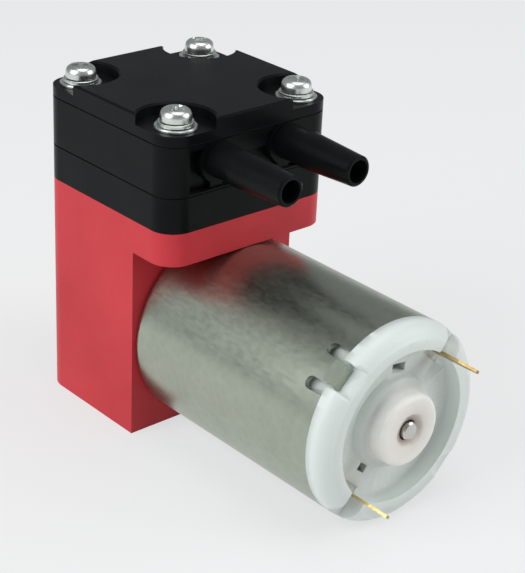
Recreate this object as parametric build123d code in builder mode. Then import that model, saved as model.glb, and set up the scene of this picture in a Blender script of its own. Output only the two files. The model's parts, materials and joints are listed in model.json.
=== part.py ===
from build123d import *
import os
from math import cos, sin, radians

os.makedirs("parts", exist_ok=True)

# Diaphragm vacuum pump. Millimetres. Z is up, the motor and both ports point towards -Y,
# and the origin is the middle of the square head, dropped onto the base plane.

# ---- driving dimensions -------------------------------------------------------------
body_w = 36.6            # head and housing width
body_d = 36.0            # head and housing depth
corner_r = 4.5           # vertical corner radius
housing_h = 42.0         # base to the head joint
column_front = -8.5      # plane the motor bolts to
overhang_t = 6.0         # ledge that carries the front of the head
axis_z = 18.0            # motor shaft height
wall_t = 3.0             # front wall of the crank chamber
lower_plate_t = 6.3      # diaphragm plate
gasket_t = 0.25
gasket_inset = 0.3
port_body_t = 8.75
cover_t = 3.75           # top cover, slab and raised plateau together
plateau_h = 2.0
screw_xy = 13.4          # head screw offset from the centre
screw_r = 1.5            # M3
notch_r = 6.7            # cut-away round each head screw
port_x = 7.5
port_rise = 5.35         # nozzle axis above the bottom of the port body
port_tip = -35.7
port_bore_r = 2.0
stroke_r = 1.5           # crank throw
diaphragm_t = 1.5
diaphragm_r = 15.0
chamber_r = 11.5
motor_r = 17.9
motor_len = 44.8         # steel can
can_t = 1.0
boss_r = 6.5
boss_h = 2.3
shaft_r = 1.585          # 1/8 in shaft
shaft_tip = -59.1
bell_out = 4.0           # end bell rim beyond the can
bell_rim_w = 4.3
motor_pitch = 25.0       # two M3 holes in the can face
rod_w = 6.0
bearing_r = 8.0          # 8 x 16 x 5 ball bearing
bearing_bore_r = 4.0
bearing_w = 5.0
run_gap = 0.05           # running clearance on radius
screw_gap = 0.1
terminal_angle = 48.0
terminal_r = motor_r - 4.2
crimp_angle = 135.0
tab_w = 4.0
slot_w = 2.2
slot_len = 5.0
slot_angle = 10.3

# ---- derived ------------------------------------------------------------------------
half = body_d / 2
plate_top = housing_h + lower_plate_t
port_bottom = plate_top + gasket_t
port_z = port_bottom + port_rise
port_top = port_bottom + port_body_t
cover_bottom = port_top + gasket_t
cover_top = cover_bottom + cover_t
ledge_z = cover_top - plateau_h
crank_z = axis_z - stroke_r
chamber_top = housing_h - 4.0
can_back = column_front - motor_len
rim_y = can_back - bell_out
UP = (Align.CENTER, Align.CENTER, Align.MIN)
corners = [(x, y) for x in (-screw_xy, screw_xy) for y in (-screw_xy, screw_xy)]


def facing(y, x=0.0, z=axis_z):
    """Plane square to the motor axis, its normal along -Y."""
    return Plane(origin=(x, y, z), x_dir=(1, 0, 0), z_dir=(0, -1, 0))


def square(plane_z):
    return Plane.XY.offset(plane_z)


def tab_point(r, angle):
    return (r * cos(radians(angle)), axis_z + r * sin(radians(angle)))


def polar(r, angle):
    return (r * cos(radians(angle)), r * sin(radians(angle)))


# ---- housing ------------------------------------------------------------------------
cover_x = 12.8
cover_z0 = 3.0
cover_z1 = chamber_top - 0.4
rear_t = 2.5
rear_screw_x = 10.4
rear_screw_z = (5.8, chamber_top - 3.2)
rear_screw_r = 1.0
chamber_x = 14.2
chamber_back = 13.0

with BuildPart() as pump_housing:
    with BuildSketch():
        RectangleRounded(body_w, body_d, corner_r)
    extrude(amount=housing_h)
    with Locations((0, (column_front - half - 5) / 2, -5)):
        Box(body_w + 2, half + column_front + 5, housing_h - overhang_t + 5, align=UP, mode=Mode.SUBTRACT)
    # crank chamber, open to the rear through a smaller window
    with Locations((0, (column_front + wall_t + chamber_back) / 2, 2.6)):
        Box(2 * chamber_x, chamber_back - column_front - wall_t, chamber_top - 2.6, align=UP, mode=Mode.SUBTRACT)
    with Locations((0, half, (cover_z0 + cover_z1) / 2)):
        Box(2 * cover_x - 2.6, 14, cover_z1 - cover_z0 - 2.6, mode=Mode.SUBTRACT)
        Box(2 * cover_x, 2 * rear_t, cover_z1 - cover_z0, mode=Mode.SUBTRACT)
    with Locations(*[facing(half - rear_t, x, z) for x in (-rear_screw_x, rear_screw_x) for z in rear_screw_z]):
        Cylinder(2.6, 8, align=UP)
        Cylinder(rear_screw_r + run_gap, 7, align=UP, mode=Mode.SUBTRACT)
    # seat of the diaphragm and the opening below it
    with Locations((0, 0, housing_h)):
        Cylinder(diaphragm_r + run_gap, 2 * diaphragm_t, mode=Mode.SUBTRACT)
    with Locations((0, 0, chamber_top - 0.01)):
        Cylinder(chamber_r, 10, align=UP, mode=Mode.SUBTRACT)
    with Locations(*[(x, y, housing_h - 3.7) for x, y in corners]):
        Cylinder(screw_r + run_gap, 10, align=UP, mode=Mode.SUBTRACT)
    # motor boss and motor screws
    with Locations(facing(column_front + wall_t + 1)):
        Cylinder(boss_r + run_gap, wall_t + 2, align=UP, mode=Mode.SUBTRACT)
    with Locations(facing(column_front + wall_t + 1, z=axis_z + motor_pitch / 2),
                   facing(column_front + wall_t + 1, z=axis_z - motor_pitch / 2)):
        Cylinder(screw_r + screw_gap, wall_t + 2, align=UP, mode=Mode.SUBTRACT)
pump_housing.part.label = "pump_housing"

with BuildPart() as rear_cover:
    with Locations((0, half - rear_t / 2, (cover_z0 + cover_z1) / 2)):
        Box(2 * cover_x - 0.2, rear_t, cover_z1 - cover_z0 - 0.2)
    with Locations(*[facing(half + 1, x, z) for x in (-rear_screw_x, rear_screw_x) for z in rear_screw_z]):
        Cylinder(2.2, 2, align=UP, mode=Mode.SUBTRACT)
        Cylinder(rear_screw_r + screw_gap, 6, align=UP, mode=Mode.SUBTRACT)
rear_cover.part.label = "rear_cover"

with BuildPart() as rear_cover_screws:
    with Locations(*[facing(half - 1, x, z) for x in (-rear_screw_x, rear_screw_x) for z in rear_screw_z]):
        Cylinder(rear_screw_r, 7, align=UP)
    with Locations(*[facing(half + 0.2, x, z) for x in (-rear_screw_x, rear_screw_x) for z in rear_screw_z]):
        Cylinder(1.9, 1.2, align=UP)
rear_cover_screws.part.label = "rear_cover_screws"

# ---- head ---------------------------------------------------------------------------
valve_x = 6.0
valve_r = 3.6
ceiling_z = housing_h + 3.4
valve_pocket = 1.2

with BuildPart() as lower_head_plate:
    with BuildSketch(square(housing_h)):
        RectangleRounded(body_w, body_d, corner_r)
    extrude(amount=lower_plate_t)
    with Locations((0, 0, housing_h)):
        Cylinder(chamber_r, ceiling_z - housing_h, align=UP, mode=Mode.SUBTRACT)
    with Locations((-valve_x + 0.6, 0, ceiling_z - 0.01)):
        Cylinder(valve_r + 0.5, valve_pocket + 0.01, align=UP, mode=Mode.SUBTRACT)
    with Locations((valve_x, 0, plate_top - valve_pocket)):
        Cylinder(valve_r + 0.5, valve_pocket + 1, align=UP, mode=Mode.SUBTRACT)
    for x in (-valve_x + 0.6, valve_x):
        with Locations((x, 0, ceiling_z)):
            Cylinder(0.9 + run_gap, lower_plate_t, align=UP, mode=Mode.SUBTRACT)
        with Locations((x, 0, ceiling_z)), PolarLocations(2.2, 3):
            Cylinder(0.7, lower_plate_t, align=UP, mode=Mode.SUBTRACT)
    with Locations(*[(x, y, housing_h) for x, y in corners]):
        Cylinder(screw_r + screw_gap, lower_plate_t, align=UP, mode=Mode.SUBTRACT)
lower_head_plate.part.label = "lower_head_plate"

with BuildPart() as inlet_valve:
    with Locations((-valve_x + 0.6, 0, ceiling_z + valve_pocket - 0.8)):
        Cylinder(valve_r, 0.8, align=UP)
        Cylinder(0.9, plate_top - ceiling_z - valve_pocket + 0.8, align=UP)
inlet_valve.part.label = "inlet_valve"

with BuildPart() as outlet_valve:
    with Locations((valve_x, 0, plate_top - valve_pocket)):
        Cylinder(valve_r, 0.8, align=UP)
    with Locations((valve_x, 0, ceiling_z)):
        Cylinder(0.9, plate_top - valve_pocket - ceiling_z + 0.4, align=UP)
outlet_valve.part.label = "outlet_valve"

pocket_x0 = 1.2
pocket_x1 = 11.4
pocket_y = 11.0
pocket_top = port_top - 1.2
recess_depth = 1.8
recess_x = 13.9
collar_r = 4.2
neck_y = -23.6

with BuildPart() as valve_gasket:
    with BuildSketch(square(plate_top)):
        RectangleRounded(body_w - 2 * gasket_inset, body_d - 2 * gasket_inset, corner_r - gasket_inset)
        with Locations(*corners):
            Circle(screw_r + screw_gap, mode=Mode.SUBTRACT)
        for side in (-1, 1):
            with Locations((side * (pocket_x0 + pocket_x1) / 2, 0)):
                Rectangle(pocket_x1 - pocket_x0, 2 * pocket_y, mode=Mode.SUBTRACT)
    extrude(amount=gasket_t)
valve_gasket.part.label = "valve_gasket"

with BuildPart() as port_body:
    with BuildSketch(square(port_bottom)):
        RectangleRounded(body_w, body_d, corner_r)
    extrude(amount=port_body_t)
    with Locations((0, -half, port_bottom)):
        Box(2 * recess_x, 2 * recess_depth, port_body_t - 0.9, align=UP, mode=Mode.SUBTRACT)
    # web between the nozzles and a foot under each one
    with Locations((0, -half + recess_depth / 2 + 0.15, (port_z + port_top) / 2)):
        Box(2 * port_x, recess_depth - 0.3, port_top - port_z)
    for side in (-1, 1):
        with Locations((side * port_x, -half + recess_depth / 2 + 0.4, (port_bottom + port_z) / 2)):
            Box(2.6, recess_depth - 0.8, port_z - port_bottom)
        with Locations(facing(-half + recess_depth + 1, side * port_x, port_z)):
            Cylinder(collar_r, recess_depth + 1.3, align=UP)
    with Locations((0, -half, port_top)):
        Box(body_w, 8, 4, align=UP, mode=Mode.SUBTRACT)
    for side in (-1, 1):
        with Locations(facing(-half + 0.5, side * port_x, port_z)):
            Cone(3.25, 3.0, -neck_y - half + 0.5, align=UP)
        with Locations(facing(neck_y, side * port_x, port_z)):
            Cone(3.3, 2.7, neck_y - port_tip, align=UP)
    tips = port_body.faces().filter_by(Axis.Y).sort_by(Axis.Y)[0:2]
    chamfer([e for f in tips for e in f.edges().filter_by(GeomType.CIRCLE)], 0.3)
    for side in (-1, 1):
        with Locations((side * (pocket_x0 + pocket_x1) / 2, 0, (port_bottom + pocket_top) / 2)):
            Box(pocket_x1 - pocket_x0, 2 * pocket_y, pocket_top - port_bottom, mode=Mode.SUBTRACT)
        with Locations(facing(-pocket_y + 1, side * port_x, port_z)):
            Cylinder(port_bore_r, 40, align=UP, mode=Mode.SUBTRACT)
    with Locations(*[(x, y, port_bottom) for x, y in corners]):
        Cylinder(screw_r + screw_gap, port_body_t, align=UP, mode=Mode.SUBTRACT)
port_body.part.label = "port_body"

with BuildPart() as cover_gasket:
    with BuildSketch(square(port_top)):
        RectangleRounded(body_w - 2 * gasket_inset, body_d - 2 * gasket_inset, corner_r - gasket_inset)
        with Locations(*corners):
            Circle(screw_r + screw_gap, mode=Mode.SUBTRACT)
    extrude(amount=gasket_t)
cover_gasket.part.label = "cover_gasket"

with BuildPart() as top_cover:
    with BuildSketch(square(cover_bottom)):
        RectangleRounded(body_w, body_d, corner_r)
    extrude(amount=ledge_z - cover_bottom)
    with BuildSketch(square(ledge_z)):
        RectangleRounded(body_w, body_d, corner_r)
        with Locations(*corners):
            Circle(notch_r, mode=Mode.SUBTRACT)
    extrude(amount=plateau_h)
    top = top_cover.faces().sort_by(Axis.Z)[-1]
    chamfer(top.edges(), 0.35)
    with Locations(*[(x, y, cover_bottom) for x, y in corners]):
        Cylinder(screw_r + screw_gap, cover_t, align=UP, mode=Mode.SUBTRACT)
top_cover.part.label = "top_cover"

# ---- head fasteners -----------------------------------------------------------------
flat_r = 3.7
flat_t = 0.5
lock_r = 3.1
lock_t = 0.8
head_r = 2.7
head_t = 2.1
screw_len = 22.0
lock_z = ledge_z + flat_t
head_z = lock_z + lock_t

with BuildPart() as flat_washers:
    with BuildSketch(square(ledge_z)):
        with Locations(*corners):
            Circle(flat_r)
            Circle(screw_r + screw_gap, mode=Mode.SUBTRACT)
    extrude(amount=flat_t)
flat_washers.part.label = "flat_washers"

with BuildPart() as lock_washers:
    with BuildSketch(square(lock_z)):
        with Locations(*corners):
            Circle(lock_r)
            Circle(screw_r + screw_gap, mode=Mode.SUBTRACT)
    extrude(amount=lock_t)
lock_washers.part.label = "lock_washers"

with BuildPart() as head_screws:
    with Locations(*[(x, y, head_z) for x, y in corners]):
        Cylinder(head_r, head_t, align=UP)
    chamfer(head_screws.faces().filter_by(Axis.Z).group_by(Axis.Z)[-1].edges(), 0.6)
    with Locations(*[(x, y, head_z - screw_len) for x, y in corners]):
        Cylinder(screw_r, screw_len, align=UP)
head_screws.part.label = "head_screws"

# ---- diaphragm and connecting rod, drawn at the bottom of the stroke -----------------
seat_z = housing_h - diaphragm_t
pad_z = seat_z - stroke_r
pad_r = 5.0
disc_r = 6.4
disc_t = 1.6
rod_ring_r = 10.4
pad_t = 1.5
pin_r = 1.25

with BuildPart() as diaphragm:
    with BuildSketch(Plane.XZ):
        with BuildLine():
            Polyline(
                (pin_r + run_gap, pad_z), (disc_r, pad_z), (chamber_r - 0.4, seat_z), (diaphragm_r, seat_z),
                (diaphragm_r, housing_h), (chamber_r - 0.4, housing_h), (disc_r, pad_z + diaphragm_t),
                (pin_r + run_gap, pad_z + diaphragm_t), close=True)
        make_face()
    revolve(axis=Axis.Z)
diaphragm.part.label = "diaphragm"

disc_z = pad_z + diaphragm_t
with BuildPart() as diaphragm_disc:
    with Locations((0, 0, disc_z)):
        Cylinder(disc_r, disc_t, align=UP)
    fillet(diaphragm_disc.edges().sort_by(Axis.Z)[-1], 0.4)
    with Locations((0, 0, disc_z)):
        Cylinder(pin_r + run_gap, disc_t, align=UP, mode=Mode.SUBTRACT)
    with Locations((0, 0, disc_z + disc_t - 1.3)):
        Cone(pin_r + run_gap, 2.6 + run_gap, 1.3, align=UP, mode=Mode.SUBTRACT)
diaphragm_disc.part.label = "diaphragm_disc"

with BuildPart() as diaphragm_screw:
    with Locations((0, 0, disc_z + disc_t - 1.3)):
        Cone(pin_r, 2.6, 1.3, align=UP)
    with Locations((0, 0, disc_z + disc_t - 9.0)):
        Cylinder(pin_r, 8.0, align=UP)
diaphragm_screw.part.label = "diaphragm_screw"

neck_top = pad_z - pad_t - crank_z

with BuildPart() as connecting_rod:
    with BuildSketch(facing(rod_w / 2, z=crank_z)):
        Circle(rod_ring_r)
        with Locations((0, (neck_top + 7) / 2)):
            Rectangle(6.4, neck_top - 7)
    extrude(amount=rod_w)
    with Locations((0, 0, pad_z - pad_t)):
        Cylinder(pad_r, pad_t, align=UP)
    with Locations((0, 0, pad_z - pad_t - 2.5)):
        Cone(3.2, pad_r, 2.5, align=UP)
    with Locations(facing(rod_w / 2, z=crank_z)):
        Cylinder(bearing_r, rod_w, align=UP, mode=Mode.SUBTRACT)
    with Locations((0, 0, disc_z + disc_t - 9.4)):
        Cylinder(pin_r + run_gap, 10, align=UP, mode=Mode.SUBTRACT)
connecting_rod.part.label = "connecting_rod"

# ---- rod bearing --------------------------------------------------------------------
race_out_r = 6.8
race_in_r = 5.2
shield_t = 0.3
shield_set = 0.2

with BuildPart() as rod_bearing_outer:
    with BuildSketch(facing(bearing_w / 2, z=crank_z)):
        Circle(bearing_r)
        Circle(race_out_r, mode=Mode.SUBTRACT)
    extrude(amount=bearing_w)
rod_bearing_outer.part.label = "rod_bearing_outer"

with BuildPart() as rod_bearing_inner:
    with BuildSketch(facing(bearing_w / 2, z=crank_z)):
        Circle(race_in_r)
        Circle(bearing_bore_r, mode=Mode.SUBTRACT)
    extrude(amount=bearing_w)
rod_bearing_inner.part.label = "rod_bearing_inner"

with BuildPart() as rod_bearing_shields:
    for start in (bearing_w / 2 - shield_set, -bearing_w / 2 + shield_set + shield_t):
        with BuildSketch(facing(start, z=crank_z)):
            Circle(race_out_r)
            Circle(race_in_r + 2 * run_gap, mode=Mode.SUBTRACT)
        extrude(amount=shield_t)
rod_bearing_shields.part.label = "rod_bearing_shields"

# ---- eccentric ----------------------------------------------------------------------
web_front = column_front + wall_t + 0.3
web_back = -bearing_w / 2
stub_back = 8.0
weight_r = 9.3
set_y = 5.6
set_r = 1.5

with BuildPart() as eccentric:
    with Locations(facing(stub_back, z=crank_z)):
        Cylinder(bearing_bore_r, stub_back - web_back, align=UP)
    with Locations(facing(web_back)):
        Cylinder(5.0, web_back - web_front, align=UP)
    with BuildSketch(facing(web_back - 0.7)):
        Circle(weight_r)
        with Locations((0, -weight_r)):
            Rectangle(3 * weight_r, 2 * weight_r, mode=Mode.SUBTRACT)
    extrude(amount=web_back - 0.7 - web_front)
    with Locations(facing(stub_back)):
        Cylinder(shaft_r + 0.015, 20, align=UP, mode=Mode.SUBTRACT)
    with Locations((0, set_y, crank_z - bearing_bore_r - 1)):
        Cylinder(set_r + run_gap, 5.5, align=UP, mode=Mode.SUBTRACT)
eccentric.part.label = "eccentric"

with BuildPart() as set_screw:
    with Locations((0, set_y, axis_z - shaft_r - 3.2)):
        Cylinder(set_r, 3.2, align=UP)
set_screw.part.label = "set_screw"

# ---- motor --------------------------------------------------------------------------
can_in_r = motor_r - can_t
front_t = 1.2
bush_r = 5.0
bush_hole = shaft_r + 0.02

with BuildPart() as motor_can:
    with Locations(facing(column_front)):
        Cylinder(motor_r, motor_len, align=UP)
    fillet(motor_can.edges().filter_by(GeomType.CIRCLE).sort_by(Axis.Y)[-1], 1.2)
    with Locations(facing(column_front - front_t)):
        Cylinder(can_in_r, motor_len, align=UP, mode=Mode.SUBTRACT)
    with Locations(facing(column_front + boss_h)):
        Cylinder(boss_r, boss_h + front_t + 1.5, align=UP)
    with Locations(facing(column_front + boss_h)):
        Cylinder(bush_r, 20, align=UP, mode=Mode.SUBTRACT)
    with Locations(facing(column_front + 1, z=axis_z + motor_pitch / 2),
                   facing(column_front + 1, z=axis_z - motor_pitch / 2)):
        Cylinder(screw_r + run_gap, 4, align=UP, mode=Mode.SUBTRACT)
    # crimp tabs: two round-ended slots leave a tab that is folded over the end bell
    for angle in (crimp_angle, crimp_angle + 180):
        along = facing(can_back, *tab_point(can_in_r + can_t / 2, angle))
        with Locations(along * Location((0, 0, 0), (0, 0, angle))):
            Box(can_t, tab_w, 2.4)
        fold = facing(can_back - 0.6, *tab_point(motor_r - 1.1, angle))
        with Locations(fold * Location((0, 0, 0), (0, 0, angle))):
            Box(2.2, tab_w, 1.2)
        for side in (-1, 1):
            turned = angle + side * slot_angle
            mouth = facing(can_back + slot_len / 2 - 1, *tab_point(motor_r, turned))
            with Locations(mouth * Location((0, 0, 0), (0, 0, turned))):
                Box(4, slot_w, slot_len - 2 + 0.02, mode=Mode.SUBTRACT)
            tail = facing(can_back + 0.6, *tab_point(motor_r, turned))
            with Locations(tail * Location((0, 0, 0), (0, 0, turned))):
                Box(4, slot_w, 1.3, mode=Mode.SUBTRACT)
            end = facing(can_back + slot_len - 2, *tab_point(motor_r, turned))
            with Locations(end * Location((0, 0, 0), (0, 0, turned)) * Location((0, 0, 0), (0, 90, 0))):
                Cylinder(slot_w / 2, 4, mode=Mode.SUBTRACT)
motor_can.part.label = "motor_can"

bell_face = can_back - 1.0
hub_r = 6.5
hub_y = shaft_tip
spigot_r = can_in_r - 0.05
rear_bush_r = 4.0

with BuildPart() as motor_end_bell:
    with Locations(facing(can_back)):
        Cylinder(motor_r, bell_out, align=UP)
    fillet(motor_end_bell.edges().filter_by(GeomType.CIRCLE).sort_by(Axis.Y)[0], 1.0)
    with Locations(facing(bell_face)):
        Cylinder(motor_r - bell_rim_w, bell_out + 5, align=UP, mode=Mode.SUBTRACT)
    with Locations(facing(can_back + 6.5)):
        Cylinder(spigot_r, 6.5, align=UP)
    with Locations(facing(can_back + 6.5)):
        Cylinder(spigot_r - 1.6, 5.0, align=UP, mode=Mode.SUBTRACT)
    with Locations(facing(bell_face)):
        Cone(8.4, 7.8, 1.5, align=UP)
    with Locations(facing(bell_face)):
        Cylinder(hub_r, bell_face - hub_y, align=UP)
    fillet(motor_end_bell.edges().filter_by(GeomType.CIRCLE).sort_by(Axis.Y)[0], 1.1)
    with Locations(facing(hub_y + 0.8)):
        Cone(2.4, 3.3, 0.8, align=UP, mode=Mode.SUBTRACT)
    with Locations(facing(can_back + 4)):
        Cylinder(rear_bush_r, can_back + 4 - hub_y - 1.6, align=UP, mode=Mode.SUBTRACT)
    with Locations(facing(can_back + 4)):
        Cylinder(shaft_r + 0.25, 12, align=UP, mode=Mode.SUBTRACT)
    # slots for the terminals, notches for the crimp tabs and the vent windows
    for angle in (terminal_angle, terminal_angle + 180):
        place = polar(motor_r - 2.3, angle)
        with Locations(Location((place[0], can_back - 3.3, axis_z + place[1]), (0, -angle, 0))):
            Box(7.0, 4.8, 4.4, mode=Mode.SUBTRACT)
        place = polar(terminal_r, angle)
        with Locations(Location((place[0], can_back, axis_z + place[1]), (0, -angle, 0))):
            Box(0.6, 20, 2.9, mode=Mode.SUBTRACT)
    for angle in (crimp_angle, crimp_angle + 180):
        notch = facing(can_back - bell_out / 2, *tab_point(motor_r + 0.3, angle))
        with Locations(notch * Location((0, 0, 0), (0, 0, angle))):
            Box(5.2, tab_w + 1.0, bell_out + 2, mode=Mode.SUBTRACT)
        relief = facing(can_back + 3.2, *tab_point(motor_r - 0.3, angle))
        with Locations(relief * Location((0, 0, 0), (0, 0, angle))):
            Box(4.0, tab_w + 2 * slot_w + 0.6, 6.4 + 0.02, mode=Mode.SUBTRACT)
    for radius, angle, wide, tall in ((9.5, 84.0, 3.0, 1.6), (9.1, 231.0, 1.9, 1.4)):
        window = facing(can_back, *tab_point(radius, angle))
        with Locations(window * Location((0, 0, 0), (0, 0, angle))):
            Box(tall, wide, 20, mode=Mode.SUBTRACT)
motor_end_bell.part.label = "motor_end_bell"

with BuildPart() as front_bearing:
    with BuildSketch(facing(column_front + boss_h - 0.2)):
        Circle(bush_r)
        Circle(bush_hole, mode=Mode.SUBTRACT)
    extrude(amount=4.4)
front_bearing.part.label = "front_bearing"

with BuildPart() as rear_bearing:
    with BuildSketch(facing(hub_y + 4.6)):
        Circle(rear_bush_r)
        Circle(bush_hole, mode=Mode.SUBTRACT)
    extrude(amount=3.0)
rear_bearing.part.label = "rear_bearing"

with BuildPart() as motor_shaft:
    with Locations(facing(stub_back)):
        Cylinder(shaft_r, stub_back - shaft_tip, align=UP)
    chamfer(motor_shaft.edges().filter_by(GeomType.CIRCLE), 0.25)
motor_shaft.part.label = "motor_shaft"

core_r = 11.6
core_front = -15.0
core_back = -41.0
slot_pitch = 8.0
slot_r = 2.4

with BuildPart() as rotor_core:
    with BuildSketch(facing(core_front)):
        Circle(core_r)
        Circle(shaft_r, mode=Mode.SUBTRACT)
        with PolarLocations(slot_pitch, 5):
            Circle(slot_r, mode=Mode.SUBTRACT)
        with PolarLocations(slot_pitch + 2.5, 5):
            Rectangle(5, 1.2, mode=Mode.SUBTRACT)
    extrude(amount=core_front - core_back)
rotor_core.part.label = "rotor_core"

with BuildPart() as windings:
    for start, length in ((core_front + 3.0, 3.0), (core_back, 3.0)):
        with BuildSketch(facing(start)):
            Circle(slot_pitch + slot_r - 0.2)
            Circle(3.0, mode=Mode.SUBTRACT)
        extrude(amount=length)
    with BuildSketch(facing(core_front)):
        with PolarLocations(slot_pitch, 5):
            Circle(slot_r - 0.15)
    extrude(amount=core_front - core_back)
windings.part.label = "windings"

comm_r = 4.2
comm_front = core_back - 3.4
comm_back = comm_front - 5.0

with BuildPart() as commutator:
    with BuildSketch(facing(comm_front)):
        Circle(comm_r)
        Circle(shaft_r, mode=Mode.SUBTRACT)
    extrude(amount=comm_front - comm_back)
    with BuildSketch(facing(comm_front)):
        with PolarLocations(comm_r, 5):
            Rectangle(1.0, 0.4)
    extrude(amount=comm_front - comm_back, mode=Mode.SUBTRACT)
commutator.part.label = "commutator"

with BuildPart() as thrust_washers:
    for start, length in ((core_front + 3.8, 0.7), (comm_back, 0.7)):
        with BuildSketch(facing(start)):
            Circle(2.8)
            Circle(shaft_r, mode=Mode.SUBTRACT)
        extrude(amount=length)
thrust_washers.part.label = "thrust_washers"

with BuildPart() as magnets:
    with BuildSketch(facing(-13.0)):
        Circle(can_in_r - 0.05)
        Circle(12.2, mode=Mode.SUBTRACT)
        Rectangle(14.0, 40, mode=Mode.SUBTRACT)
    extrude(amount=30.0)
magnets.part.label = "magnets"

with BuildPart() as magnet_clips:
    with BuildSketch(facing(-14.0)):
        Circle(can_in_r - 0.05)
        Circle(can_in_r - 0.6, mode=Mode.SUBTRACT)
        Rectangle(40, 60, mode=Mode.INTERSECT)
        Rectangle(13.9, 40, mode=Mode.INTERSECT)
    extrude(amount=28.0)
magnet_clips.part.label = "magnet_clips"

# ---- brushes and terminals ----------------------------------------------------------
brush_y = (comm_front + comm_back) / 2
brush_out_r = comm_r + 3.7
terminal_tip = -64.0

with BuildPart() as brushes:
    for angle in (terminal_angle, terminal_angle + 180):
        place = polar(comm_r + 1.9, angle)
        with Locations(Location((place[0], brush_y, axis_z + place[1]), (0, -angle, 0))):
            Box(3.6, 3.0, 3.0)
brushes.part.label = "brushes"

with BuildPart() as brush_arms:
    for angle in (terminal_angle, terminal_angle + 180):
        place = polar((brush_out_r + terminal_r) / 2 - 0.05, angle)
        with Locations(Location((place[0], brush_y, axis_z + place[1]), (0, -angle, 0))):
            Box(terminal_r - brush_out_r - 0.4, 0.4, 2.8)
brush_arms.part.label = "brush_arms"

with BuildPart() as terminals:
    for angle in (terminal_angle, terminal_angle + 180):
        place = polar(terminal_r, angle)
        blade = Plane(origin=(place[0], brush_y, axis_z + place[1]),
                      x_dir=(-sin(radians(angle)), 0, cos(radians(angle))),
                      z_dir=(cos(radians(angle)), 0, sin(radians(angle))))
        reach = brush_y - terminal_tip
        with BuildSketch(blade):
            with BuildLine():
                Polyline((-1.4, -1.5), (-1.4, reach - 9.0), (-1.1, reach - 9.0), (-1.1, reach - 3.5), (-0.4, reach),
                         (0.4, reach), (1.1, reach - 3.5), (1.1, reach - 9.0), (1.4, reach - 9.0), (1.4, -1.5),
                         close=True)
            make_face()
        extrude(amount=0.25, both=True)
terminals.part.label = "terminals"

# ---- motor screws -------------------------------------------------------------------
with BuildPart() as motor_screws:
    for z in (axis_z - motor_pitch / 2, axis_z + motor_pitch / 2):
        with Locations(facing(column_front + wall_t + 2.0, z=z)):
            Cylinder(2.6, 2.0, align=UP)
        with Locations(facing(column_front + wall_t, z=z)):
            Cylinder(screw_r, wall_t + front_t + 0.6, align=UP)
motor_screws.part.label = "motor_screws"

pieces = {
    "pump_housing": pump_housing, "rear_cover": rear_cover, "rear_cover_screws": rear_cover_screws,
    "lower_head_plate": lower_head_plate, "inlet_valve": inlet_valve, "outlet_valve": outlet_valve,
    "valve_gasket": valve_gasket, "port_body": port_body, "cover_gasket": cover_gasket,
    "top_cover": top_cover, "flat_washers": flat_washers, "lock_washers": lock_washers,
    "head_screws": head_screws, "diaphragm": diaphragm, "diaphragm_disc": diaphragm_disc,
    "diaphragm_screw": diaphragm_screw, "connecting_rod": connecting_rod,
    "rod_bearing_outer": rod_bearing_outer, "rod_bearing_inner": rod_bearing_inner,
    "rod_bearing_shields": rod_bearing_shields, "eccentric": eccentric, "set_screw": set_screw,
    "motor_can": motor_can, "motor_end_bell": motor_end_bell, "front_bearing": front_bearing,
    "rear_bearing": rear_bearing, "motor_shaft": motor_shaft, "rotor_core": rotor_core,
    "windings": windings, "commutator": commutator, "thrust_washers": thrust_washers,
    "magnets": magnets, "magnet_clips": magnet_clips, "brushes": brushes, "brush_arms": brush_arms,
    "terminals": terminals, "motor_screws": motor_screws,
}
for name, piece in pieces.items():
    export_step(piece.part, f"parts/{name}.step")
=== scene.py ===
"""Looks of the diaphragm vacuum pump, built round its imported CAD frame.

The frame is in metres. Lengths in mm are turned into metres with MM.
"""

import json
import math

import bmesh
import bpy
from mathutils import Matrix, Vector


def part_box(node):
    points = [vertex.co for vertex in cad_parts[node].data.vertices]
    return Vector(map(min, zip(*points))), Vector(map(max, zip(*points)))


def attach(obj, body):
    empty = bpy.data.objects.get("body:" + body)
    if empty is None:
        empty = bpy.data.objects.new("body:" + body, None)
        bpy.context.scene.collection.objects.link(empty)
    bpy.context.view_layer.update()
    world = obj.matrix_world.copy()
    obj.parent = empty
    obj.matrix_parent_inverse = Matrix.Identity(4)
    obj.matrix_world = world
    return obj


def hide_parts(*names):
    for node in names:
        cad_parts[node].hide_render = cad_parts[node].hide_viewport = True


MM = 0.001
WELD = 1e-7        # vertices nearer than this are one, in metres
ON_AXIS = 1e-6     # a lathe radius below this is a single point, in mm
NOISE_LOW = 0.3    # the part of a noise's range that ramps spread out
NOISE_HIGH = 0.7

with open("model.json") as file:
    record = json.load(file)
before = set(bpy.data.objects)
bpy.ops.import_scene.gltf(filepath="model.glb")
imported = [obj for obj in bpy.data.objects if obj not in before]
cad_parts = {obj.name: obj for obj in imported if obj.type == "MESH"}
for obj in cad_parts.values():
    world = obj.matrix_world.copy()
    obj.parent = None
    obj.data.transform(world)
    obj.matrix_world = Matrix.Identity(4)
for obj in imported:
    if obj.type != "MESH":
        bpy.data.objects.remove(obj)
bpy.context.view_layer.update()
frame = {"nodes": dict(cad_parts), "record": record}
nodes = frame["nodes"]


# ---- materials ----------------------------------------------------------------------
def material(name):
    """A new material with its node tree and its shader."""
    mat = bpy.data.materials.new(name)
    mat.use_nodes = True
    tree = mat.node_tree
    return mat, tree, tree.nodes["Principled BSDF"]


def object_place(tree):
    return tree.nodes.new("ShaderNodeTexCoord").outputs["Object"]


def scaled(tree, vector, scale):
    mapping = tree.nodes.new("ShaderNodeMapping")
    mapping.inputs["Scale"].default_value = scale
    tree.links.new(vector, mapping.inputs["Vector"])
    return mapping.outputs["Vector"]


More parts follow.
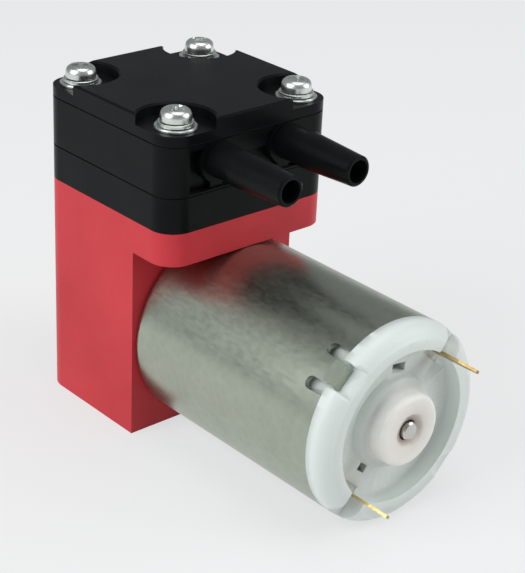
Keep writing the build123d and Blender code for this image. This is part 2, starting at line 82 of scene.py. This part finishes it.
def noise(tree, vector, scale, detail=4.0, rough=0.55):
    node = tree.nodes.new("ShaderNodeTexNoise")
    node.inputs["Scale"].default_value = scale
    node.inputs["Detail"].default_value = detail
    node.inputs["Roughness"].default_value = rough
    tree.links.new(vector, node.inputs["Vector"])
    return node.outputs["Fac"]


def ramp(tree, fac, low, high):
    """Colour from low to high over the noise's range."""
    node = tree.nodes.new("ShaderNodeValToRGB")
    node.color_ramp.elements[0].position = NOISE_LOW
    node.color_ramp.elements[1].position = NOISE_HIGH
    node.color_ramp.elements[0].color = (*low, 1)
    node.color_ramp.elements[1].color = (*high, 1)
    tree.links.new(fac, node.inputs["Fac"])
    return node.outputs["Color"]


def between(tree, fac, low, high):
    """Value from low to high over the noise's range."""
    node = tree.nodes.new("ShaderNodeMapRange")
    node.inputs["From Min"].default_value = NOISE_LOW
    node.inputs["From Max"].default_value = NOISE_HIGH
    node.inputs["To Min"].default_value = low
    node.inputs["To Max"].default_value = high
    tree.links.new(fac, node.inputs["Value"])
    return node.outputs["Result"]


def bump(tree, shader, height, strength, distance):
    node = tree.nodes.new("ShaderNodeBump")
    node.inputs["Strength"].default_value = strength
    node.inputs["Distance"].default_value = distance
    tree.links.new(height, node.inputs["Height"])
    tree.links.new(node.outputs["Normal"], shader.inputs["Normal"])


def moulded(name, low, high, rough, grain, depth, metallic=0.0, patch=60.0,
            stretch=(1, 1, 1), level=0.5):
    """Plastic, rubber or metal with soft colour patches, uneven gloss and a fine grain.

    low and high are the patch colours, rough the range of roughness, grain and patch the
    noise scales, depth the height of the grain in metres, level the specular level.
    """
    mat, tree, shader = material(name)
    shader.inputs["Metallic"].default_value = metallic
    shader.inputs["Specular IOR Level"].default_value = level
    vector = scaled(tree, object_place(tree), stretch)
    cloud = noise(tree, vector, patch)
    fine = noise(tree, vector, grain, 6.0, 0.65)
    tree.links.new(ramp(tree, cloud, low, high), shader.inputs["Base Color"])
    tree.links.new(between(tree, fine, *rough), shader.inputs["Roughness"])
    bump(tree, shader, fine, 0.6, depth)
    return mat


def zinc_can(name):
    """Rolled zinc-plated steel: fine lengthwise grain over soft spangle."""
    mat, tree, shader = material(name)
    shader.inputs["Metallic"].default_value = 1.0
    place = object_place(tree)
    drawn = noise(tree, scaled(tree, place, (1, 0.35, 1)), 1500, 4.0, 0.6)
    cloud = noise(tree, place, 120, 5.0, 0.6)
    spots = tree.nodes.new("ShaderNodeTexVoronoi")
    spots.inputs["Scale"].default_value = 700
    tree.links.new(place, spots.inputs["Vector"])
    mix = tree.nodes.new("ShaderNodeMix")
    mix.inputs["Factor"].default_value = 0.35
    tree.links.new(cloud, mix.inputs["A"])
    tree.links.new(spots.outputs["Distance"], mix.inputs["B"])
    colour = ramp(tree, mix.outputs["Result"], (0.375, 0.42, 0.345), (0.43, 0.475, 0.395))
    tree.links.new(colour, shader.inputs["Base Color"])
    tree.links.new(between(tree, drawn, 0.29, 0.37), shader.inputs["Roughness"])
    bump(tree, shader, drawn, 0.1, 0.000005)
    return mat


RED = moulded("red_paint", (0.50, 0.026, 0.036), (0.60, 0.040, 0.052), (0.34, 0.50),
              1800, 0.00002, patch=50, level=0.25)
BLACK = moulded("black_nylon", (0.0030, 0.0036, 0.0038), (0.0065, 0.0075, 0.0078),
                (0.26, 0.38), 2200, 0.00002, patch=70, level=0.08)
GASKET = moulded("gasket_black", (0.004, 0.004, 0.004), (0.010, 0.010, 0.010), (0.6, 0.8),
                 1500, 0.00003)
RUBBER = moulded("valve_black", (0.015, 0.015, 0.015), (0.03, 0.03, 0.03), (0.5, 0.7),
                 1200, 0.00004)
SCREW = moulded("zinc_screw", (0.62, 0.66, 0.63), (0.76, 0.80, 0.77), (0.24, 0.36),
                5000, 0.000003, 1.0, 300)
STEEL = moulded("ground_steel", (0.50, 0.49, 0.47), (0.66, 0.65, 0.62), (0.20, 0.34),
                1500, 0.00001, 1.0, 200)
ALUMINIUM = moulded("turned_aluminium", (0.70, 0.71, 0.72), (0.82, 0.83, 0.84), (0.25, 0.4),
                    1500, 0.00001, 1.0)
ROD = moulded("rod_nylon", (0.55, 0.53, 0.48), (0.66, 0.64, 0.60), (0.4, 0.55),
              1500, 0.00002)
BRASS = moulded("brass_strip", (0.36, 0.25, 0.08), (0.62, 0.48, 0.22), (0.30, 0.48),
                1700, 0.00001, 1.0, 400)
CAN = zinc_can("zinc_can")
BELL = moulded("white_nylon", (0.74, 0.79, 0.77), (0.82, 0.86, 0.84), (0.34, 0.48),
               1800, 0.00002, patch=90)
BRONZE = moulded("sintered_bronze", (0.30, 0.17, 0.07), (0.46, 0.29, 0.14), (0.4, 0.6),
                 2500, 0.00003, 1.0, 500)
CORE = moulded("core_steel", (0.20, 0.21, 0.22), (0.32, 0.33, 0.34), (0.4, 0.55),
               1500, 0.00002, 1.0, stretch=(1, 8, 1))
COPPER = moulded("enamelled_copper", (0.42, 0.12, 0.04), (0.66, 0.27, 0.11), (0.25, 0.4),
                 1500, 0.00005, 1.0, 900)
FERRITE = moulded("ferrite", (0.035, 0.035, 0.038), (0.06, 0.06, 0.063), (0.5, 0.7),
                  2200, 0.00003)

BY_SLOT = {
    "red_casting": RED, "black_plastic": BLACK, "gasket_rubber": GASKET,
    "valve_rubber": RUBBER, "screw_steel": SCREW, "bearing_steel": STEEL,
    "aluminium_part": ALUMINIUM, "rod_plastic": ROD, "brass_part": BRASS,
    "zinc_steel": CAN, "white_nylon": BELL, "bush_bronze": BRONZE,
    "core_steel": CORE, "copper_wire": COPPER, "ferrite": FERRITE,
}
for part in frame["record"]["subparts"]:
    node = nodes[part["node"]]
    node.data.materials.clear()
    node.data.materials.append(BY_SLOT[part["material_slot"]])


# ---- mesh helpers -------------------------------------------------------------------
def smooth(mesh, sharp_angle):
    """Smooth shading with edges kept sharp above an angle in degrees."""
    for face in mesh.polygons:
        face.use_smooth = True
    mesh.set_sharp_from_angle(angle=math.radians(sharp_angle))


def finish_mesh(name, bm, mat, sharp_angle=40):
    bmesh.ops.recalc_face_normals(bm, faces=bm.faces)
    mesh = bpy.data.meshes.new(name)
    bm.to_mesh(mesh)
    bm.free()
    smooth(mesh, sharp_angle)
    obj = bpy.data.objects.new(name, mesh)
    bpy.context.collection.objects.link(obj)
    mesh.materials.append(mat)
    return obj


def welded_copy(name, node, mat):
    """A copy of a CAD node whose faces share their vertices, ready to be cut."""
    obj = bpy.data.objects.new(name, nodes[node].data.copy())
    bpy.context.collection.objects.link(obj)
    obj.data.materials.clear()
    obj.data.materials.append(mat)
    bm = bmesh.new()
    bm.from_mesh(obj.data)
    bmesh.ops.remove_doubles(bm, verts=bm.verts, dist=WELD)
    bm.to_mesh(obj.data)
    bm.free()
    return obj


def lathe(bm, profile, centre, segments=48):
    """Turns a (radius, height) profile in mm about a vertical axis through centre."""
    rings = []
    for r, z in profile:
        if r < ON_AXIS:
            rings.append([bm.verts.new((centre[0], centre[1], centre[2] + z * MM))])
            continue
        ring = []
        for i in range(segments):
            a = 2 * math.pi * i / segments
            ring.append(bm.verts.new((centre[0] + r * MM * math.cos(a),
                                      centre[1] + r * MM * math.sin(a),
                                      centre[2] + z * MM)))
        rings.append(ring)
    for lower, upper in zip(rings, rings[1:]):
        for i in range(segments):
            j = (i + 1) % segments
            if len(lower) == 1:
                bm.faces.new((lower[0], upper[j], upper[i]))
            elif len(upper) == 1:
                bm.faces.new((lower[i], lower[j], upper[0]))
            else:
                bm.faces.new((lower[i], lower[j], upper[j], upper[i]))


def cut(obj, cutter):
    """Takes the cutter's volume out of obj, and removes the cutter."""
    mod = obj.modifiers.new("cut", "BOOLEAN")
    mod.operation = "DIFFERENCE"
    mod.solver = "EXACT"
    mod.object = cutter
    depsgraph = bpy.context.evaluated_depsgraph_get()
    mesh = bpy.data.meshes.new_from_object(obj.evaluated_get(depsgraph))
    obj.modifiers.clear()
    obj.data = mesh
    bpy.data.objects.remove(cutter)


SQUARE = ((-1, -1), (1, -1), (1, 1), (-1, 1))
WING_ABOVE = 0.3      # the cutter starts this far above the head
WING_LENGTH = 0.46    # the bottom of the cutter is shorter and thinner than its top
WING_WIDTH = 0.62
SCREW_SHARP = 35


def cross_recess(obj, place, half_length, half_width, depth):
    """Cuts a tapering cross recess; place puts local +Z out of the screw head."""
    for quarter in (0, 90):
        wing = bmesh.new()
        spin = place @ Matrix.Rotation(math.radians(quarter), 4, "Z")
        upper, lower = [], []
        for ux, uy in SQUARE:
            upper.append(wing.verts.new(spin @ Vector((
                ux * half_length * MM, uy * half_width * MM, WING_ABOVE * MM))))
            lower.append(wing.verts.new(spin @ Vector((
                ux * half_length * WING_LENGTH * MM, uy * half_width * WING_WIDTH * MM,
                -depth * MM))))
        wing.faces.new(upper)
        wing.faces.new(lower[::-1])
        for i in range(4):
            j = (i + 1) % 4
            wing.faces.new((upper[i], lower[i], lower[j], upper[j]))
        cut(obj, finish_mesh("cutter", wing, SCREW))
    smooth(obj.data, SCREW_SHARP)


# ---- head screws, spring washers and flat washers -----------------------------------
FLAT_R = 3.7
FLAT_HOLE_R = 1.6
FLAT_EDGE = 0.08      # small chamfer of washers and head
LOCK_HOLE_R = 1.62
LOCK_R = 3.1
LOCK_STEPS = 60
LOCK_START = 12       # degrees from the recess to the split
LOCK_TURN = 338       # degrees of the turn, the rest is the split
LOCK_RISE = 0.16      # how much the open end stands above the other
NECK_R = 1.42
THREAD_ROOT_R = 1.22
THREAD_CREST_R = 1.47
THREAD_PITCH = 0.5
THREAD_END = 0.6      # plain length at the tip

screw_low, screw_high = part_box("head_screws")
lock_low, lock_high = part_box("lock_washers")
flat_low, flat_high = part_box("flat_washers")
SCREW_XY = (flat_high[0] - flat_low[0]) / 2 / MM - FLAT_R
HEAD_R = (screw_high[0] - screw_low[0]) / 2 / MM - SCREW_XY
HEAD_Z = lock_high[2]
HEAD_T = (screw_high[2] - HEAD_Z) / MM
SHANK = (HEAD_Z - screw_low[2]) / MM
LOCK_T = (lock_high[2] - lock_low[2]) / MM
FLAT_T = (flat_high[2] - flat_low[2]) / MM

# shares of the head's radius and height, from the middle of the top outwards
DOME = ((0.0, 1.0), (0.55, 0.99), (0.76, 0.94), (0.90, 0.80), (0.98, 0.58), (1.0, 0.40))
TURNS = {(-1, -1): 22, (-1, 1): 58, (1, -1): 40, (1, 1): 8}   # recess angle per corner


def screw_profile():
    profile = [(share_r * HEAD_R, share_t * HEAD_T) for share_r, share_t in DOME]
    profile += [(HEAD_R, FLAT_EDGE), (HEAD_R - FLAT_EDGE, 0.0), (NECK_R, 0.0)]
    z = -0.2
    while z > -SHANK + THREAD_END:
        profile += [(THREAD_ROOT_R, z), (THREAD_CREST_R, z - 0.2),
                    (THREAD_CREST_R, z - 0.26), (THREAD_ROOT_R, z - 0.46)]
        z -= THREAD_PITCH
    return profile + [(1.1, -SHANK + 0.1), (0.9, -SHANK), (0.0, -SHANK)]


def spring_turn(bm, base, turn):
    """One square turn of spring steel, open at the split."""
    section = ((LOCK_HOLE_R, 0.0), (LOCK_R - FLAT_EDGE, 0.0), (LOCK_R, FLAT_EDGE),
               (LOCK_R, LOCK_T - 0.26), (LOCK_R - FLAT_EDGE, LOCK_T - 0.18),
               (LOCK_HOLE_R, LOCK_T - 0.18))
    rows = []
    for i in range(LOCK_STEPS + 1):
        a = math.radians(turn + LOCK_START + LOCK_TURN * i / LOCK_STEPS)
        lift = LOCK_RISE * (i / LOCK_STEPS)
        rows.append([bm.verts.new(base + Vector((r * MM * math.cos(a), r * MM * math.sin(a),
                                                 (z + lift) * MM))) for r, z in section])
    for one, two in zip(rows, rows[1:]):
        for k in range(len(section)):
            m = (k + 1) % len(section)
            bm.faces.new((one[k], one[m], two[m], two[k]))
    bm.faces.new(rows[0])
    bm.faces.new(rows[-1][::-1])


for (sx, sy), turn in TURNS.items():
    tag = ("left" if sx < 0 else "right") + ("_front" if sy < 0 else "_rear")
    centre = Vector((sx * SCREW_XY * MM, sy * SCREW_XY * MM, HEAD_Z))

    bm = bmesh.new()
    lathe(bm, screw_profile(), centre)
    screw = finish_mesh("screw_" + tag, bm, SCREW, SCREW_SHARP)
    top = Matrix.Translation(centre + Vector((0, 0, HEAD_T * MM)))
    cross_recess(screw, top @ Matrix.Rotation(math.radians(turn), 4, "Z"), 1.75, 0.42, 1.5)
    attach(screw, "frame")
    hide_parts("head_screws")

    bm = bmesh.new()
    spring_turn(bm, centre + Vector((0, 0, lock_low[2] - HEAD_Z)), turn)
    spring = finish_mesh("spring_washer_" + tag, bm, SCREW)
    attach(spring, "frame")
    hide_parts("lock_washers")

    bm = bmesh.new()
    lathe(bm, [(FLAT_HOLE_R, 0.0), (FLAT_R - FLAT_EDGE, 0.0), (FLAT_R, FLAT_EDGE),
               (FLAT_R, FLAT_T - 0.14), (FLAT_R - 0.12, FLAT_T),
               (FLAT_HOLE_R + FLAT_EDGE, FLAT_T), (FLAT_HOLE_R, FLAT_T - FLAT_EDGE),
               (FLAT_HOLE_R, 0.0)], Vector((centre.x, centre.y, flat_low[2])))
    bmesh.ops.remove_doubles(bm, verts=bm.verts, dist=WELD)
    washer = finish_mesh("flat_washer_" + tag, bm, SCREW)
    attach(washer, "frame")
    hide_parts("flat_washers")


# ---- rear cover screws: the CAD heads with cross recesses ---------------------------
COVER_X = 10.4
COVER_Z = 14.5
COVER_TURNS = {(-1, -1): 15, (-1, 1): 62, (1, -1): 33, (1, 1): 80}

cover_low, cover_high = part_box("rear_cover_screws")
cover_mid_z = (cover_low[2] + cover_high[2]) / 2
cover_screws = welded_copy("cover_screws", "rear_cover_screws", SCREW)
for (sx, sz), turn in COVER_TURNS.items():
    spot = Vector((sx * COVER_X * MM, cover_high[1], cover_mid_z + sz * COVER_Z * MM))
    outward = Matrix.Translation(spot) @ Matrix.Rotation(math.radians(-90), 4, "X")
    cross_recess(cover_screws, outward @ Matrix.Rotation(math.radians(turn), 4, "Z"),
                 0.95, 0.22, 0.8)
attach(cover_screws, "frame")
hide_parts("rear_cover_screws")


# ---- end bell: the CAD mesh with a wide bevel on its rim -----------------------------
shaft_low, shaft_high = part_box("motor_shaft")
AXIS_Z = shaft_low[2] / 2 + shaft_high[2] / 2
CAN_R = 17.9
BELL_SHARP = 28
BAND_REACH = 0.02     # metres from the axis covered by the colour bands
BAND_WOBBLE = 0.0016
# distance from the motor axis in metres, and the colour there
BANDS = (
    (0.0022, (0.14, 0.09, 0.06)), (0.0028, (0.44, 0.36, 0.31)), (0.0038, (0.76, 0.72, 0.66)),
    (0.0070, (0.84, 0.82, 0.77)), (0.0082, (0.66, 0.70, 0.66)), (0.0180, (0.70, 0.755, 0.73)),
)
# outside of the bevel: radius and distance towards -Y in mm
BEVEL = ((CAN_R + 0.6, 54.6), (CAN_R + 0.6, 58.6), (14.6, 58.6), (15.5, 57.29),
         (16.3, 57.05), (17.2, 56.3), (CAN_R - 0.12, 55.5), (CAN_R + 0.02, 54.9))


def about_motor(bm, profile, segments=96):
    """Turns a closed (radius, distance towards -Y) profile in mm about the motor axis."""
    rings = []
    for r, d in profile:
        ring = []
        for i in range(segments):
            a = 2 * math.pi * i / segments
            ring.append(bm.verts.new((r * MM * math.cos(a), -d * MM,
                                      AXIS_Z + r * MM * math.sin(a))))
        rings.append(ring)
    for k in range(len(rings)):
        one, two = rings[k], rings[(k + 1) % len(rings)]
        for i in range(segments):
            j = (i + 1) % segments
            bm.faces.new((one[i], one[j], two[j], two[i]))


def nylon_bell(name):
    """White nylon, warmer on the hub, with a brown oil stain round the shaft."""
    mat, tree, shader = material(name)
    shader.inputs["Subsurface Weight"].default_value = 0.12
    shader.inputs["Subsurface Radius"].default_value = (1.0, 0.9, 0.8)
    shader.inputs["Subsurface Scale"].default_value = 0.0012
    place = object_place(tree)
    flat = tree.nodes.new("ShaderNodeMapping")
    flat.inputs["Location"].default_value = (0, 0, -AXIS_Z)
    flat.inputs["Scale"].default_value = (1, 0, 1)
    tree.links.new(place, flat.inputs["Vector"])
    reach = tree.nodes.new("ShaderNodeVectorMath")
    reach.operation = "LENGTH"
    tree.links.new(flat.outputs["Vector"], reach.inputs[0])
    wobble = tree.nodes.new("ShaderNodeMath")
    wobble.operation = "MULTIPLY_ADD"
    wobble.inputs[1].default_value = BAND_WOBBLE
    tree.links.new(noise(tree, place, 260), wobble.inputs[0])
    tree.links.new(reach.outputs["Value"], wobble.inputs[2])
    share = tree.nodes.new("ShaderNodeMath")
    share.operation = "DIVIDE"
    share.inputs[1].default_value = BAND_REACH
    tree.links.new(wobble.outputs[0], share.inputs[0])
    bands = tree.nodes.new("ShaderNodeValToRGB")
    stops = bands.color_ramp.elements
    for stop, (spot, colour) in ((stops[0], BANDS[0]), (stops[1], BANDS[-1])):
        stop.position = spot / BAND_REACH
        stop.color = (*colour, 1)
    for spot, colour in BANDS[1:-1]:
        stops.new(spot / BAND_REACH).color = (*colour, 1)
    tree.links.new(share.outputs[0], bands.inputs["Fac"])
    tree.links.new(bands.outputs["Color"], shader.inputs["Base Color"])
    fine = noise(tree, place, 1800, 6.0, 0.65)
    tree.links.new(between(tree, fine, 0.34, 0.5), shader.inputs["Roughness"])
    bump(tree, shader, fine, 0.5, 0.00002)
    return mat


HUB_NYLON = nylon_bell("hub_nylon")
bell = welded_copy("end_bell", "motor_end_bell", HUB_NYLON)
bm = bmesh.new()
about_motor(bm, BEVEL)
cut(bell, finish_mesh("cutter", bm, HUB_NYLON))
smooth(bell.data, BELL_SHARP)
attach(bell, "frame")
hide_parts("motor_end_bell")


# ---- diaphragm, split so that its middle rides the rod and leaves room to move ------
DIAPHRAGM_T = 1.5
MIDDLE_R = 6.4
RIM_INNER_R = 8.2
CHAMBER_R = 11.1
SEAT_R = 15.0
BORE_R = 1.3

dia_low, dia_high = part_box("diaphragm")
seat = (dia_high[2] - dia_low[2]) / MM - DIAPHRAGM_T
inner = seat * (RIM_INNER_R - MIDDLE_R) / (CHAMBER_R - MIDDLE_R)
middle = [(BORE_R, 0.0), (MIDDLE_R, 0.0), (MIDDLE_R, DIAPHRAGM_T), (BORE_R, DIAPHRAGM_T),
          (BORE_R, 0.0)]
rim = [(RIM_INNER_R, inner), (CHAMBER_R, seat), (SEAT_R, seat),
       (SEAT_R, seat + DIAPHRAGM_T), (CHAMBER_R, seat + DIAPHRAGM_T),
       (RIM_INNER_R, inner + DIAPHRAGM_T), (RIM_INNER_R, inner)]
for name, profile, body in (("diaphragm_middle", middle, "rod"),
                            ("diaphragm_rim", rim, "frame")):
    bm = bmesh.new()
    lathe(bm, profile, Vector((0, 0, dia_low[2])), 64)
    bmesh.ops.remove_doubles(bm, verts=bm.verts, dist=WELD)
    piece = finish_mesh(name, bm, RUBBER)
    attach(piece, body)
    if body == "frame":
        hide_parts("diaphragm")


# ---- web that closes the port recess beside the right nozzle ------------------------
WEB_X = (10.5 * MM, 14.1 * MM)
WEB_Y = (0.00002, 0.0019)      # behind the front face of the port body
WEB_BELOW_TOP = 0.0003
WEB_ABOVE_FOOT = 0.0002

body_low, body_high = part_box("port_body")
face_y = -body_high[1]
bm = bmesh.new()
corners = [bm.verts.new((x, face_y + y, z)) for x in WEB_X for y in WEB_Y
           for z in (body_low[2] + WEB_ABOVE_FOOT, body_high[2] - WEB_BELOW_TOP)]
for ring in ((0, 1, 3, 2), (4, 6, 7, 5), (0, 4, 5, 1), (2, 3, 7, 6), (0, 2, 6, 4),
             (1, 5, 7, 3)):
    bm.faces.new([corners[i] for i in ring])
web = finish_mesh("port_web", bm, BLACK, 30)
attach(web, "frame")


# ---- stage --------------------------------------------------------------------------
FLOOR_HALF = 4.0
FLOOR_GLOW = 0.72     # share of the floor's own pale colour that the camera sees


def combine(tree, operation, one, two):
    node = tree.nodes.new("ShaderNodeMath")
    node.operation = operation
    for socket, value in zip(node.inputs, (one, two)):
        if isinstance(value, float):
            socket.default_value = value
        else:
            tree.links.new(value, socket)
    return node.outputs[0]


def studio_floor():
    """Matt pale floor that keeps its shadow, evened out for the camera and reflections."""
    mat, tree, shader = material("studio_floor")
    shader.inputs["Base Color"].default_value = (0.86, 0.865, 0.87, 1)
    shader.inputs["Roughness"].default_value = 0.9
    shader.inputs["Specular IOR Level"].default_value = 0.1
    glow = tree.nodes.new("ShaderNodeEmission")
    glow.inputs["Color"].default_value = (0.855, 0.86, 0.865, 1)
    rays = tree.nodes.new("ShaderNodeLightPath").outputs
    seen = combine(tree, "MAXIMUM", rays["Is Camera Ray"], rays["Is Glossy Ray"])
    seen = combine(tree, "MAXIMUM", seen, rays["Is Transmission Ray"])
    blend = tree.nodes.new("ShaderNodeMixShader")
    tree.links.new(combine(tree, "MULTIPLY", seen, FLOOR_GLOW), blend.inputs["Fac"])
    tree.links.new(shader.outputs[0], blend.inputs[1])
    tree.links.new(glow.outputs[0], blend.inputs[2])
    tree.links.new(blend.outputs[0], tree.nodes["Material Output"].inputs["Surface"])
    return mat


bm = bmesh.new()
bmesh.ops.create_grid(bm, x_segments=1, y_segments=1, size=FLOOR_HALF)
floor = finish_mesh("floor", bm, studio_floor())

# the camera sees a pale backdrop; the object is lit by a weak cool sky
world = bpy.data.worlds.new("studio")
bpy.context.scene.world = world
world.use_nodes = True
tree = world.node_tree
sky = tree.nodes["Background"]
sky.inputs["Color"].default_value = (0.93, 0.96, 1.0, 1)
sky.inputs["Strength"].default_value = 0.28
backdrop = tree.nodes.new("ShaderNodeBackground")
backdrop.inputs["Color"].default_value = (0.80, 0.805, 0.81, 1)
paths = tree.nodes.new("ShaderNodeLightPath")
choose = tree.nodes.new("ShaderNodeMixShader")
tree.links.new(paths.outputs["Is Camera Ray"], choose.inputs["Fac"])
tree.links.new(sky.outputs[0], choose.inputs[1])
tree.links.new(backdrop.outputs[0], choose.inputs[2])
tree.links.new(choose.outputs[0], tree.nodes["World Output"].inputs["Surface"])

LAMP_AIM = Vector((0, -0.02, 0.03))


def lamp(name, place, size, power):
    """A square lamp aimed at the middle of the pump."""
    data = bpy.data.lights.new(name, "AREA")
    data.shape = "SQUARE"
    data.size = size
    data.energy = power
    obj = bpy.data.objects.new(name, data)
    bpy.context.collection.objects.link(obj)
    obj.location = place
    obj.rotation_euler = (LAMP_AIM - Vector(place)).to_track_quat("-Z", "Y").to_euler()


lamp("key", (-0.58, 0.06, 0.38), 0.5, 3.0)
lamp("top", (0.05, -0.1, 0.75), 0.6, 2.2)
lamp("front", (0.50, -0.52, 0.34), 0.45, 2.3)

# ---- camera, solved from the photo ---------------------------------------------------
TURN = -0.7393        # radians
TILT = 0.4509
ROLL = 0.0474
EYE = Vector((-0.17122, -0.20955, 0.15256))
back = Vector((math.sin(TURN) * math.cos(TILT), -math.cos(TURN) * math.cos(TILT),
               math.sin(TILT)))
sideways = Vector((math.cos(TURN), math.sin(TURN), 0))
up = back.cross(sideways)
right = sideways * math.cos(ROLL) + up * math.sin(ROLL)
above = up * math.cos(ROLL) - sideways * math.sin(ROLL)
camera_data = bpy.data.cameras.new("camera")
camera_data.lens = 101.68
camera_data.sensor_width = 36.0
camera_data.clip_start = 0.01
camera = bpy.data.objects.new("camera", camera_data)
bpy.context.collection.objects.link(camera)
camera.matrix_world = Matrix(((right.x, above.x, back.x, EYE.x),
                              (right.y, above.y, back.y, EYE.y),
                              (right.z, above.z, back.z, EYE.z),
                              (0, 0, 0, 1)))
bpy.context.scene.camera = camera
bpy.context.scene.view_settings.view_transform = "Standard"
